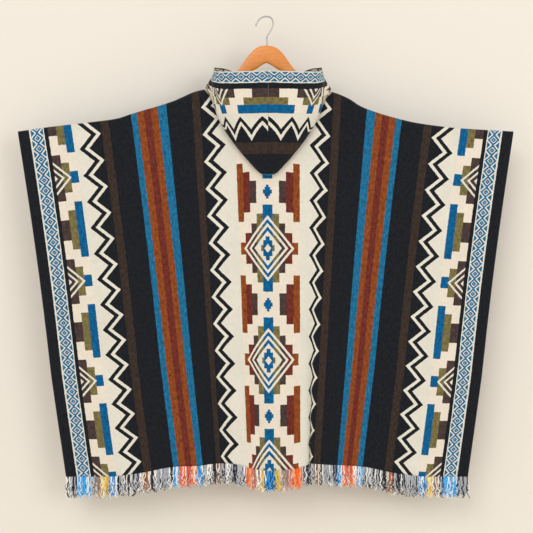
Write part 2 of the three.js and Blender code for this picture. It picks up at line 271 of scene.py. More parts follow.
def linkObject(name, data):
    piece = bpy.data.objects.new(name, data)
    bpy.context.scene.collection.objects.link(piece)
    return piece


def meshPiece(name, mesh):
    data = bpy.data.meshes.new(name)
    mesh.to_mesh(data)
    mesh.free()
    return linkObject(name, data)


def bodyGrid(s, face):
    # columns by cloth place, rows from the shoulder fold or the neck edge to the hem
    folds = s["backFolds"] if face < 0 else s["frontFolds"]
    columnCount = s["columns"]
    rowCount = s["backRows"] if face < 0 else s["frontRows"]
    edges = [s["neckCentre"] - s["neckHalf"], s["neckCentre"] + s["neckHalf"]]
    columns = [-s["halfWidth"] + 2 * s["halfWidth"] * c / columnCount for c in range(columnCount + 1)]
    for edge in edges:                                   # a column stands exactly at each neck point
        nearest = min(range(len(columns)), key=lambda c: abs(columns[c] - edge))
        columns[nearest] = edge
    rolled = s["rollSteps"][-1]
    hanging = [rolled + (s["length"] - rolled) * (r / rowCount) ** 1.04 for r in range(1, rowCount + 1)]
    rows, places = [], []
    for step in s["rollSteps"] + hanging:
        row, place = [], []
        for across in columns:
            start = neckDrop(s, face, across)
            down = start + (s["length"] - start) * step / s["length"]
            row.append(bodyPoint(s, face, folds, across, down))
            place.append((across * -face, down))
        rows.append(row)
        places.append(place)

    def joined(c):
        return not edges[0] < columns[c] < edges[1]

    return rows, places, 1, face, joined


def makeBody(s):
    body = clothShell("ponchoBody", [bodyGrid(s, -1), bodyGrid(s, 1)], s["wall"])
    print("body cloth:", len(body.data.polygons), "faces")
    return body


ponchoBody = makeBody(clothSettings)

# Stations run from the bottom of the V neck round the side to the centre back seam, in mm.
# bag is 1 where the cloth rolls over the neck seam, falls, folds and rises again to the rim.
hoodSettings = {
    "wall": 2.4,
    "foldRadius": 6.0,
    "standOff": 9.0,
    "seamGroove": 2.2,             # the centre seam is drawn in
    "seamReach": 7.0,
    "seamGap": 0.15,
    "turnedBorder": 27.0,          # side border of the cloth, turned in along the rim
    "patternStart": {-1: 14.0, 1: 1.5},   # the two halves were cut a little out of step
    "stations": 78,
    "sections": 110,
    "grooveDepth": (0.45, 0.6),    # share of the section where the groove begins and is full
    # distance from the rim, distance into the woven pattern
    "patternDepth": [(0, 0), (29.5, 36), (42.5, 44.4), (62, 63.6), (79, 81.6), (100, 100.8), (109, 115),
                     (165, 168), (167, 169.2), (190, 184.2), (242, 241.2), (270, 262)],
    "rollLift": 6,                 # the cloth stands up over the neck seam
    "bagFullness": 7,
    # seamX, seamY, seamLift, foldX, foldZ, rimX, rimY, rimZ, bag
    "rows": [
        (1, 13, 6, 1, -338, 1, 13, -322, 0),
        (50, 13, 5, 50, -280, 30, 15, -218, 0),
        (100, 12, 3, 100, -220, 80, 17, -131, 0),
        (140, 11, 4, 140, -190, 113, 13, -121, 0),
        (150, 0, 12, 150, -176, 129, 0, -121, 0),
        (148, -9, 9, 140, -200, 129, -16, -130, 0.3),
        (134, -10, 3, 117, -248, 119, -32, -136, 1),
        (112, -10, 3, 99, -280, 97, -46, -138, 1),
        (84, -10, 3, 74, -315, 70, -56, -139, 1),
        (44, -10, 3, 40, -355, 36, -62, -139, 1),
        (16, -10, 3, 15, -379, 13, -64, -138, 1),
        (0, -10, 3, 0, -384, 0, -64, -138, 1),
    ],
}


def catmullRom(points, count):
    # centripetal curve through the points, sampled evenly by length
    ends = [points[0] * 2 - points[1]] + points + [points[-1] * 2 - points[-2]]
    dense, pieces = [], 24
    for i in range(1, len(ends) - 2):
        p0, p1, p2, p3 = ends[i - 1:i + 3]
        t0 = 0.0
        t1 = max((p1 - p0).length, 1e-4) ** 0.5
        t2 = t1 + max((p2 - p1).length, 1e-4) ** 0.5
        t3 = t2 + max((p3 - p2).length, 1e-4) ** 0.5
        for k in range(pieces):
            t = t1 + (t2 - t1) * k / pieces
            a1 = p0 * ((t1 - t) / (t1 - t0)) + p1 * ((t - t0) / (t1 - t0))
            a2 = p1 * ((t2 - t) / (t2 - t1)) + p2 * ((t - t1) / (t2 - t1))
            a3 = p2 * ((t3 - t) / (t3 - t2)) + p3 * ((t - t2) / (t3 - t2))
            b1 = a1 * ((t2 - t) / (t2 - t0)) + a2 * ((t - t0) / (t2 - t0))
            b2 = a2 * ((t3 - t) / (t3 - t1)) + a3 * ((t - t1) / (t3 - t1))
            dense.append(b1 * ((t2 - t) / (t2 - t1)) + b2 * ((t - t1) / (t2 - t1)))
    dense.append(points[-1].copy())
    lengths = [0.0]
    for a, b in zip(dense, dense[1:]):
        lengths.append(lengths[-1] + (b - a).length)
    sampled, k = [], 0
    for j in range(count + 1):
        wanted = lengths[-1] * j / count
        while k < len(lengths) - 2 and lengths[k + 1] < wanted:
            k += 1
        part = (wanted - lengths[k]) / max(lengths[k + 1] - lengths[k], 1e-9)
        sampled.append(dense[k].lerp(dense[k + 1], clamp(part, 0, 1)))
    return sampled, lengths[-1]


def hoodSection(s, cloth, side, position, count):
    keyed = [(k, *row) for k, row in enumerate(s["rows"])]
    seamX, seamY, seamLift, foldX, foldZ, rimX, rimY, rimZ, bag = [
        readTable(keyed, position, column) for column in range(1, len(keyed[0]))]
    face = -1 if seamY <= 0 else 1
    folds = cloth["backFolds"] if face < 0 else cloth["frontFolds"]
    across = cloth["neckCentre"] + side * seamX
    edge = bodyPoint(cloth, face, folds, across, neckDrop(cloth, face, across), creases=False)
    seamZ = edge.z + seamLift
    foldZ = min(foldZ, seamZ - 1)
    inner = seamY - s["standOff"]
    outer = inner - 2 * s["foldRadius"]
    low = foldZ + 1.6 * s["foldRadius"]
    hanging = [
        Vector((seamX, seamY, seamZ)),
        Vector((seamX, seamY - s["standOff"] / 2, seamZ + s["rollLift"])),
        Vector((seamX, inner, seamZ)),
        Vector(((seamX + foldX) / 2, inner, (seamZ + foldZ) / 2)),
        Vector((foldX, inner - 0.5, low)),
        Vector((foldX, (inner + outer) / 2, foldZ)),
        Vector((foldX, outer - 1, low)),
        Vector(((foldX + rimX) / 2, (outer + rimY) / 2 - s["bagFullness"], (foldZ + rimZ) / 2)),
        Vector((rimX, rimY, rimZ)),
    ]
    bag = ramp(bag, 0, 1)
    points = []
    for i, point in enumerate(hanging):
        up = i / (len(hanging) - 1)
        standing = hanging[0].lerp(hanging[-1], up)
        standing.x = rimX + (seamX - rimX) * (1 - up) ** 2
        points.append(standing.lerp(point, bag))
    return catmullRom(points, count)


def hoodHalf(s, cloth, side):
    rows, lengths = [], []
    for i in range(s["stations"] + 1):
        position = (len(s["rows"]) - 1) * i / s["stations"]
        section, length = hoodSection(s, cloth, side, position, s["sections"])
        rows.append(section)
        lengths.append(length)
    # the distance from the centre back seam, at the same depth, gives the place along the cloth
    along = [[0.0] * (s["sections"] + 1) for _ in rows]
    for i in range(len(rows) - 2, -1, -1):
        for j in range(s["sections"] + 1):
            along[i][j] = along[i + 1][j] + (rows[i][j] - rows[i + 1][j]).length
    places, placed = [], []
    for i, row in enumerate(rows):
        place, line = [], []
        for j, point in enumerate(row):
            depth = readTable(s["patternDepth"], lengths[i] * (1 - j / s["sections"]))
            across = cloth["halfWidth"] - s["turnedBorder"] - depth
            place.append((across, along[i][j] - s["patternStart"][side]))
            groove = 0.0
            if i > s["stations"] / 2:
                groove = s["seamGroove"] * math.exp(-(point.x / s["seamReach"]) ** 2)
            deep = ramp(j / s["sections"], *s["grooveDepth"]) * groove
            x = cloth["neckCentre"] + side * (point.x + s["seamGap"])
            line.append(Vector((x, point.y + deep, point.z)))
        placed.append(line)
        places.append(place)
    name = "hoodLeft" if side < 0 else "hoodRight"
    placed.reverse()
    places.reverse()
    half = clothShell(name, [(placed, places, 0, -side, None)], s["wall"])
    print(name, len(half.data.polygons), "faces")
    return half


hoodHalves = {side: hoodHalf(hoodSettings, clothSettings, side) for side in (-1, 1)}


def colour(r, g, b):
    # sRGB 0-255 to the linear values a node holds
    def linear(v):
        v /= 255
        return v / 12.92 if v <= 0.04045 else ((v + 0.055) / 1.055) ** 2.4
    return (linear(r), linear(g), linear(b), 1.0)


yarns = {
    "dark": colour(24, 27, 33),
    "coffee": colour(56, 44, 37),
    "step": colour(71, 56, 53),
    "cream": colour(227, 222, 207),
    "peach": colour(234, 223, 205),
    "blue": colour(2, 92, 142),
    "lake": colour(26, 106, 146),
    "lattice": colour(0, 104, 146),
    "olive": colour(118, 108, 66),
    "rust": colour(138, 69, 27),
    "maroon": colour(108, 44, 36),
    "reverseDark": colour(58, 57, 50),
    "reversePale": colour(192, 186, 170),
}

# all in mm of flat cloth; the pattern mirrors about the centre line and about the shoulder fold
patternSettings = {
    "repeat": 254.0,
    "ground": [(0, "cream"), (130, "coffee"), (178.8, "dark"), (241.2, "lake"),
               (260.4, "rust"), (277, "maroon"), (293, "rust"), (309.8, "lake"), (325, "dark"),
               (379.5, "coffee"), (403, "dark"), (430, "cream"), (524.8, "dark"), (533.2, "cream"),
               (569.2, "dark")],
    # centre panel: columns (starts at, yarn, half height) of the stepped diamond and of the bars
    "diamondSteps": [(0, "blue", 98), (11.8, "olive", 77.5), (27.8, "step", 56), (42.8, "maroon", 35),
                     (60.5, "rust", 13.7), (75, "rust", 0)],
    "barSteps": [(0, "step", 0), (28, "step", 25), (45, "maroon", 45.6), (63, "rust", 66), (79.2, "rust", 0)],
    # side panels: columns counted inwards from the thin dark line
    "sideLine": 524.8,
    "sideBars": [(0, "step", 25), (19.2, "olive", 48), (37.2, "blue", 68), (56.4, "blue", 0)],
    "sideChevrons": [(0, "step", 56), (19.2, "olive", 36), (37.2, "blue", 14.4), (56.4, "blue", 0)],
    # half width and half height, and the cream lines inside as shares of that size
    "diamond": (65.5, 74.0),
    "diamondLines": [(0.89, 1.0), (0.66, 0.77), (-1.0, 0.53)],
    "chevron": (40.0, 40.0),
    "chevronLines": [(0.83, 1.0), (0.42, 0.58), (-1.0, 0.17)],
    # half width and half height of each block of the small figures
    "core": [(16.8, 6.8)],
    "cross": [(11.2, 18.0), (4.8, 27.0)],
    "eye": (8.2, 10.0),
    "smallCross": [(11.0, 4.6), (7.0, 10.0), (3.2, 15.5)],
    "centreZigzag": {"inner": 104.0, "outer": 162.0, "dark": 13.0, "pale": 10.5, "phase": 0.79},
    "sideZigzag": {"inner": 399.0, "outer": 457.0, "dark": 13.0, "pale": 10.5, "phase": 0.5},
    "latticeMiddle": 551.2,
    "lattice": (12.4, 12.7),
    "latticeLines": [(0.10, 0.48), (0.69, 1.15), (1.5, 9.0)],
    "latticeEdge": 14.6,
    "paleFrom": 0.6,               # yarns above this brightness count as pale
}


class NodeBench:
    # adds nodes to one tree
    def __init__(self, tree):
        self.tree = tree

    def put(self, node, slot, value):
        if isinstance(value, bpy.types.NodeSocket):
            self.tree.links.new(value, node.inputs[slot])
        else:
            node.inputs[slot].default_value = value

    def node(self, kind, inputs=(), **settings):
        node = self.tree.nodes.new(kind)
        for name, value in settings.items():
            setattr(node, name, value)
        for slot, value in dict(inputs).items():
            self.put(node, slot, value)
        return node

    def calc(self, operation, *values):
        return self.node("ShaderNodeMath", enumerate(values), operation=operation).outputs[0]

    def mix(self, factor, a, b, blend="MIX"):
        inputs = {0: factor, 6: a, 7: b}
        return self.node("ShaderNodeMix", inputs, data_type="RGBA", blend_type=blend).outputs[2]

    def steps(self, value, span, stops):
        # a stepped ramp: stops are (position, colour) with positions up to span
        node = self.node("ShaderNodeValToRGB", {0: self.calc("DIVIDE", value, span)})
        node.color_ramp.interpolation = "CONSTANT"
        elements = node.color_ramp.elements
        while len(elements) > 1:
            elements.remove(elements[0])
        for i, (position, tint) in enumerate(stops):
            element = elements[0] if i == 0 else elements.new(position / span)
            element.position = position / span
            element.color = tint
        return node.outputs[0]

    def noise(self, vector, scale, detail=2.0, rough=0.5, distortion=0.0):
        inputs = {"Vector": vector, "Scale": scale, "Detail": detail, "Roughness": rough,
                  "Distortion": distortion}
        return self.node("ShaderNodeTexNoise", inputs).outputs[0]

    def stretched(self, vector, scale):
        return self.node("ShaderNodeMapping", {0: vector, "Scale": scale}).outputs[0]

    def attribute(self, name):
        return self.node("ShaderNodeAttribute", attribute_name=name).outputs["Fac"]

    def toned(self, tint, tone):
        grey = self.node("ShaderNodeCombineColor", {0: tone, 1: tone, 2: tone}).outputs[0]
        return self.mix(1.0, tint, grey, "MULTIPLY")

    def bump(self, surface, height, strength, distance):
        bump = self.node("ShaderNodeBump", {"Strength": strength, "Distance": distance, "Height": height})
        self.put(surface, "Normal", bump.outputs[0])

    def finish(self, surface, settings):
        for name, value in settings.items():
            self.put(surface, name, value)


def buildPattern(s, y):
    group = bpy.data.node_groups.new("wovenPattern", "ShaderNodeTree")
    for name, way, kind in [("Across", "INPUT", "Float"), ("Down", "INPUT", "Float"),
                            ("Yarn", "OUTPUT", "Color"), ("Light", "OUTPUT", "Float")]:
        group.interface.new_socket(name, in_out=way, socket_type="NodeSocket" + kind)
    enter = group.nodes.new("NodeGroupInput")
    leave = group.nodes.new("NodeGroupOutput")
    bench = NodeBench(group)
    calc, mix = bench.calc, bench.mix
    clothSpan, columnSpan = 600, 100

    def below(a, b):
        return calc("LESS_THAN", a, b)

    def both(a, b):
        return calc("MULTIPLY", a, b)

    def inside(value, low, high):
        return both(calc("GREATER_THAN", value, low), below(value, high))

    def anyOf(masks):
        whole = masks[0]
        for mask in masks[1:]:
            whole = calc("MAXIMUM", whole, mask)
        return whole

    def bands(value, limits):
        return anyOf([inside(value, low, high) for low, high in limits])

    def blocks(distance, sizes):
        return anyOf([both(below(across, width), below(distance, height)) for width, height in sizes])

    def rings(x, z, size):
        # 1 on the outline of a diamond of that half width and half height
        return calc("ADD", calc("DIVIDE", x, size[0]), calc("DIVIDE", z, size[1]))

    def columns(value, table, distance):
        # yarn colour of each column, and whether the point is within its half height
        tint = bench.steps(value, columnSpan, [(at, y[name]) for at, name, _ in table])
        heights = [(at, (size / columnSpan,) * 3 + (1.0,)) for at, _, size in table]
        height = calc("MULTIPLY", bench.steps(value, columnSpan, heights), columnSpan)
        return tint, below(distance, height)

    across = calc("ABSOLUTE", enter.outputs[0])
    down = calc("ABSOLUTE", enter.outputs[1])
    half = s["repeat"] / 2
    fromBar = calc("PINGPONG", down, half)
    fromDiamond = calc("SUBTRACT", half, fromBar)
    cream = y["cream"]

    def zigzag(z, base, outward):
        # outward is 1 where the cream ground lies towards the centre
        quarter = s["repeat"] / 8
        shifted = calc("ADD", down, z["phase"] * 2 * quarter)
        wave = calc("DIVIDE", calc("PINGPONG", shifted, quarter), quarter)
        reach = z["outer"] - z["inner"] - 2 * z["dark"]
        edge = calc("MULTIPLY_ADD", wave, reach, z["inner"] + z["dark"])
        offset = calc("MULTIPLY", calc("SUBTRACT", across, edge), outward)
        painted = mix(below(offset, 0.0), y["dark"], cream)
        painted = mix(inside(offset, -z["dark"], 0.0), painted, y["dark"])
        painted = mix(inside(offset, 0.0, z["pale"]), painted, cream)
        return mix(inside(across, z["inner"] - 0.01, z["outer"] + 0.01), base, painted)

    result = bench.steps(across, clothSpan, [(at, y[name]) for at, name in s["ground"]])
    result = zigzag(s["centreZigzag"], result, 1)
    result = zigzag(s["sideZigzag"], result, -1)

    # centre panel: bars, stepped diamonds with cream lines, and the small figures
    panel = below(across, s["barSteps"][-1][0])
    barTint, barMask = columns(across, s["barSteps"], fromBar)
    stepTint, stepMask = columns(across, s["diamondSteps"], fromDiamond)
    ring = rings(across, fromDiamond, s["diamond"])
    line = bands(ring, s["diamondLines"])
    layers = [
        (panel, y["peach"]),
        (both(panel, barMask), barTint),
        (both(panel, stepMask), stepTint),
        (line, cream),
        (both(below(ring, 1.0), calc("SUBTRACT", 1.0, line)), stepTint),
        (blocks(fromDiamond, s["core"]), y["olive"]),
        (blocks(fromDiamond, s["cross"]), y["blue"]),
        (below(rings(across, fromDiamond, s["eye"]), 1.0), cream),
        (blocks(fromBar, s["smallCross"]), y["blue"]),
    ]

    # side panels, counted inwards from the thin dark line
    inward = calc("SUBTRACT", s["sideLine"], across)
    strip = inside(inward, -0.3, s["sideBars"][-1][0])
    barTint, barMask = columns(inward, s["sideBars"], fromBar)
    stepTint, stepMask = columns(inward, s["sideChevrons"], fromDiamond)
    line = bands(rings(inward, fromDiamond, s["chevron"]), s["chevronLines"])
    layers += [(strip, y["peach"]), (both(strip, barMask), barTint), (both(strip, stepMask), stepTint),
               (both(strip, line), cream)]

    # lattice border: rings of diamonds between two pale edges
    aside = calc("ABSOLUTE", calc("SUBTRACT", across, s["latticeMiddle"]))
    level = calc("PINGPONG", down, s["lattice"][1])
    line = bands(rings(aside, level, s["lattice"]), s["latticeLines"])
    layers.append((both(line, below(aside, s["latticeEdge"])), y["lattice"]))

    for mask, tint in layers:
        result = mix(mask, result, tint)
    bench.put(leave, 0, result)
    green = bench.node("ShaderNodeSeparateColor", {0: result}).outputs[1]
    bench.put(leave, 1, calc("GREATER_THAN", green, s["paleFrom"]))
    return group


wovenPattern = buildPattern(patternSettings, yarns)
print("pattern nodes:", len(wovenPattern.nodes))


def shaderTree(name):
    material = bpy.data.materials.new(name)
    material.use_nodes = True
    return material, NodeBench(material.node_tree), material.node_tree.nodes["Principled BSDF"]


clothLook = {
    # noise scale and mm: the figures' edges wander by a thread, across and down
    "wander": [(130.0, 2.4), (170.0, 2.0)],
    # scale, stretch along the warp, detail, roughness
    "flecks": (165.0, 0.55, 4.0, 0.8),
    "clouds": (14.0, 0.8, 3.0, 0.6),
    "nap": (900.0, 0.5, 2.0, 0.5),
    "fleckDepth": 3.2,             # on dark yarns
    "palerBy": -2.9,               # less on pale ones
    "cloudDepth": 0.2,
    "darkest": 0.35,
    "threads": (1.5, 1.3),         # mm from thread to thread, across and down
    "threadHeight": 0.35,
    "napHeight": 1.2,
    "bump": (0.55, 0.0007),
    "finish": {"Roughness": 0.94, "Specular IOR Level": 0.18, "Sheen Weight": 0.12, "Sheen Roughness": 0.45},
}


def clothMaterial(name, pattern, s):
    material, bench, surface = shaderTree(name)
    calc = bench.calc
    place = bench.node("ShaderNodeUVMap", uv_map="clothPlace").outputs[0]
    parts = bench.node("ShaderNodeSeparateXYZ", {0: place})
    across, down = [calc("MULTIPLY", parts.outputs[i], 1 / mm) for i in (0, 1)]

    def noise(scale, stretch=1.0, detail=2.0, rough=0.5):
        return bench.noise(bench.stretched(place, (1.0, stretch, 1.0)), scale, detail, rough)

    wandered = [calc("ADD", at, calc("MULTIPLY_ADD", noise(scale), reach, -reach / 2))
                for at, (scale, reach) in zip((across, down), s["wander"])]
    woven = bench.node("ShaderNodeGroup", node_tree=pattern)
    for slot, at in enumerate(wandered):
        bench.put(woven, slot, at)
    light = woven.outputs[1]

    # the reverse of the double weave shows the figures with light and dark exchanged
    reverse = bench.mix(light, yarns["reversePale"], yarns["reverseDark"])
    yarn = bench.mix(calc("GREATER_THAN", bench.attribute("innerFace"), 0.5), woven.outputs[0], reverse)

    depth = calc("MULTIPLY_ADD", light, s["palerBy"], s["fleckDepth"])
    tone = calc("MULTIPLY_ADD", calc("SUBTRACT", noise(*s["flecks"]), 0.5), depth, 1.0)
    cloudy = calc("MULTIPLY_ADD", noise(*s["clouds"]), s["cloudDepth"], -s["cloudDepth"] / 2)
    tone = calc("MAXIMUM", calc("ADD", tone, cloudy), s["darkest"])
    bench.put(surface, "Base Color", bench.toned(yarn, tone))

    # plain weave of soft yarn under a brushed nap
    warp, weft = [calc("SINE", calc("MULTIPLY", at, 2 * math.pi / thread))
                  for at, thread in zip((across, down), s["threads"])]
    nap = calc("MULTIPLY", noise(*s["nap"]), s["napHeight"])
    height = calc("MULTIPLY_ADD", calc("MULTIPLY", warp, weft), s["threadHeight"], nap)
    bench.bump(surface, height, *s["bump"])
    bench.finish(surface, s["finish"])
    return material


blanketCloth = clothMaterial("blanketCloth", wovenPattern, clothLook)
ponchoBody.data.materials.append(blanketCloth)
for half in hoodHalves.values():
    half.data.materials.append(blanketCloth)
print("cloth material made")


# Yarn colours of the fringe by distance from the centre line: the warp ends are lighter than
# the woven face, because the pale yarns of the back hang among them.
fringeSettings = {
    "length": 0.053,
    "yarnRadius": 0.0015,
    "yarnsPerRow": 300,
    "rows": [(-0.0018, 11), (0.0, 23), (0.0018, 37)],      # distance out from the hem, seed
    "frontSeed": 50,                                       # added on the front hem
    "hemPoints": 300,
    "tuck": 1.5,                                           # the yarns start just inside the hem
    "shortest": 0.66,
    "yarnPoints": 11,
    "sides": 5,
    "taper": 0.35,
    "sway": (0.034, 0.014, 0.006),                         # reach of a yarn's wandering, grown to its end
    "swayGrowth": 0.8,
    "swayTurns": 4.2,
    "apart": (7.31, 3.7),                                  # noise steps from yarn to yarn, and row to row
    "shares": (0.5, 0.82),                                 # yarns up to here: main, second, white
    "white": (244, 241, 233),
    "plyTurns": 95.0,
    # painted shade in the grooves of the ply twist, as a share of the yarn's tone
    "plyPaintedShade": 0.12,
    "tones": (0.16, 1.04),                                 # spread between yarns, and the darkest
    "bump": (0.5, 0.0004),
    "finish": {"Roughness": 0.9, "Specular IOR Level": 0.2, "Sheen Weight": 0.15},
    # starts at, main yarn, pale or dark yarn twisted in among it
    "zones": [
        (0, (62, 172, 236), (14, 96, 164)),
        (12, (240, 208, 110), (222, 190, 92)),
        (28, (168, 148, 138), (240, 230, 218)),
        (44, (200, 122, 110), (232, 200, 186)),
        (60, (250, 116, 48), (250, 168, 112)),
        (82, (196, 198, 204), (34, 38, 48)),
        (160, (140, 108, 92), (232, 218, 206)),
        (179, (176, 180, 188), (30, 34, 44)),
        (241, (50, 172, 244), (196, 226, 240)),
        (260, (250, 112, 52), (250, 184, 140)),
        (277, (214, 102, 88), (244, 166, 132)),
        (293, (250, 112, 52), (250, 184, 140)),
        (310, (50, 172, 244), (196, 226, 240)),
        (325, (176, 180, 188), (30, 34, 44)),
        (385, (166, 108, 78), (240, 222, 206)),
        (400, (190, 192, 198), (34, 38, 48)),
        (468, (60, 150, 220), (196, 214, 228)),
        (488, (246, 200, 90), (242, 226, 168)),
        (506, (160, 142, 130), (236, 224, 212)),
        (525, (200, 202, 208), (34, 38, 50)),
        (533, (70, 180, 244), (222, 236, 242)),
        (569, (186, 188, 194), (30, 34, 44)),
    ],
}


def fringeMaterial(s):
    material, bench, surface = shaderTree("fringeYarn")
    calc, clothSpan = bench.calc, 600
    across = calc("ABSOLUTE", bench.attribute("clothAcross"))
    chance = bench.attribute("yarnChance")
    main, pale = [bench.steps(across, clothSpan, [(zone[0], colour(*zone[i])) for zone in s["zones"]])
                  for i in (1, 2)]
    tint = bench.mix(calc("GREATER_THAN", chance, s["shares"][0]), main, pale)
    tint = bench.mix(calc("GREATER_THAN", chance, s["shares"][1]), tint, colour(*s["white"]))
    # two-ply twist along each yarn: its wave is painted shade in the grooves between the plies, and the same
    # wave gives the bump
    twist = calc("SINE", calc("MULTIPLY", bench.attribute("yarnAlong"), s["plyTurns"]))
    tone = calc("MULTIPLY_ADD", twist, s["plyPaintedShade"], calc("MULTIPLY_ADD", chance, *s["tones"]))
    bench.put(surface, "Base Color", bench.toned(tint, tone))
    bench.bump(surface, twist, *s["bump"])
    bench.finish(surface, s["finish"])
    return material


def fringeTree(s, material):
    tree = bpy.data.node_groups.new("hangingYarns", "GeometryNodeTree")
    for name, way, kind in [("Hem", "INPUT", "Geometry"), ("Yarns", "INPUT", "Int"),
                            ("Length", "INPUT", "Float"), ("Radius", "INPUT", "Float"),
                            ("Seed", "INPUT", "Int"), ("Fringe", "OUTPUT", "Geometry")]:
        tree.interface.new_socket(name, in_out=way, socket_type="NodeSocket" + kind)
    given = tree.nodes.new("NodeGroupInput").outputs
    leave = tree.nodes.new("NodeGroupOutput")
    bench = NodeBench(tree)
    calc, node = bench.calc, bench.node

    def chance(low, high, offset):
        inputs = {2: low, 3: high, "Seed": calc("ADD", given["Seed"], offset)}
        return node("FunctionNodeRandomValue", inputs, data_type="FLOAT").outputs[1]

    def store(geometry, name, value):
        inputs = {"Geometry": geometry, "Name": name, "Value": value}
        return node("GeometryNodeStoreNamedAttribute", inputs, data_type="FLOAT", domain="POINT").outputs[0]

    def named(name):
        return node("GeometryNodeInputNamedAttribute", {"Name": name}, data_type="FLOAT").outputs[0]

    hem = node("GeometryNodeMeshToCurve", {0: given["Hem"]}).outputs[0]
    spaced = node("GeometryNodeResampleCurve", {"Curve": hem, "Count": given["Yarns"]}).outputs[0]
    roots = store(spaced, "yarnChance", chance(0.0, 1.0, 0))
    roots = store(roots, "yarnId", node("GeometryNodeInputIndex").outputs[0])

    straight = node("GeometryNodeCurvePrimitiveLine", {"End": (0.0, 0.0, -1.0)}).outputs[0]
    fine = node("GeometryNodeResampleCurve", {"Curve": straight, "Count": s["yarnPoints"]}).outputs[0]
    yarn = store(fine, "yarnAlong", node("GeometryNodeSplineParameter").outputs["Factor"])
    length = calc("MULTIPLY", given["Length"], chance(s["shortest"], 1.0, 1))
    size = node("ShaderNodeCombineXYZ", {0: 1.0, 1: 1.0, 2: length}).outputs[0]
    hung = node("GeometryNodeInstanceOnPoints", {"Points": roots, "Instance": yarn, "Scale": size}).outputs[0]
    hung = node("GeometryNodeRealizeInstances", {0: hung}).outputs[0]

    # each yarn wanders more towards its free end, and leans its own way
    along = named("yarnAlong")
    spot = node("ShaderNodeCombineXYZ", {
        0: calc("MULTIPLY", named("yarnId"), s["apart"][0]),
        1: calc("MULTIPLY", along, s["swayTurns"]),
        2: calc("MULTIPLY", given["Seed"], s["apart"][1]),
    }).outputs[0]
    wave = node("ShaderNodeTexNoise", {"Vector": spot, "Scale": 1.0, "Detail": 1.0}).outputs["Color"]
    sway = node("ShaderNodeVectorMath", {0: wave, 1: (0.5, 0.5, 0.5)}, operation="SUBTRACT").outputs[0]
    sway = node("ShaderNodeVectorMath", {0: sway, 1: s["sway"]}, operation="MULTIPLY").outputs[0]
    growth = calc("POWER", along, s["swayGrowth"])
    sway = node("ShaderNodeVectorMath", {0: sway, "Scale": growth}, operation="SCALE").outputs[0]
    hung = node("GeometryNodeSetPosition", {"Geometry": hung, "Offset": sway}).outputs[0]

    section = node("GeometryNodeCurvePrimitiveCircle", {"Resolution": s["sides"], "Radius": given["Radius"]})
    taper = calc("SUBTRACT", 1.0, calc("MULTIPLY", along, s["taper"]))
    tube = node("GeometryNodeCurveToMesh", {"Curve": hung, "Profile Curve": section.outputs[0],
                                            "Scale": taper, "Fill Caps": True}).outputs[0]
    smooth = node("GeometryNodeSetShadeSmooth", {"Geometry": tube}).outputs[0]
    whole = node("GeometryNodeRealizeInstances", {0: smooth}).outputs[0]
    bench.put(leave, 0, node("GeometryNodeSetMaterial", {"Geometry": whole, "Material": material}).outputs[0])
    return tree


def hemLine(name, s, cloth, face, outward):
    # the hem as a chain of edges, each point knowing its place across the cloth
    folds = cloth["backFolds"] if face < 0 else cloth["frontFolds"]
    count = s["hemPoints"]
    data = bpy.data.meshes.new(name)
    points, across = [], []
    for i in range(count + 1):
        at = (-1 + 2 * i / count) * (cloth["halfWidth"] - s["tuck"])
        point = bodyPoint(cloth, face, folds, at, cloth["length"])
        point.z += s["tuck"]
        points.append(point * mm + Vector((0, face * outward, 0)))
        across.append(at)
    data.from_pydata(points, [(i, i + 1) for i in range(count)], [])
    layer = data.attributes.new("clothAcross", "FLOAT", "POINT")
    layer.data.foreach_set("value", across)
    return linkObject(name, data)


def bakeTree(piece, tree, values):
    # runs a node tree on a piece and keeps only the plain mesh
    modifier = piece.modifiers.new("nodes", "NODES")
    modifier.node_group = tree
    for item in tree.interface.items_tree:
        if item.item_type == "SOCKET" and item.in_out == "INPUT" and item.name in values:
            modifier[item.identifier] = values[item.name]
    bpy.context.view_layer.update()
    evaluated = piece.evaluated_get(bpy.context.evaluated_depsgraph_get())
    result = bpy.data.meshes.new_from_object(evaluated)
    piece.modifiers.clear()
    return result


def makeFringe(name, s, cloth, face, tree):
    rows = []
    for outward, seed in s["rows"]:
        hem = hemLine(name + "Row", s, cloth, face, outward)
        values = {"Yarns": s["yarnsPerRow"], "Length": s["length"], "Radius": s["yarnRadius"],
                  "Seed": seed + (s["frontSeed"] if face > 0 else 0)}
        rows.append(bakeTree(hem, tree, values))
        bpy.data.objects.remove(hem)
    joined = bmesh.new()
    for row in rows:
        joined.from_mesh(row)
    fringe = meshPiece(name, joined)
    fringe.data.materials.append(rows[0].materials[0])
    print(name, len(fringe.data.polygons), "faces")
    return fringe


yarnTree = fringeTree(fringeSettings, fringeMaterial(fringeSettings))
fringeBack = makeFringe("fringeBack", fringeSettings, clothSettings, -1, yarnTree)
fringeFront = makeFringe("fringeFront", fringeSettings, clothSettings, 1, yarnTree)


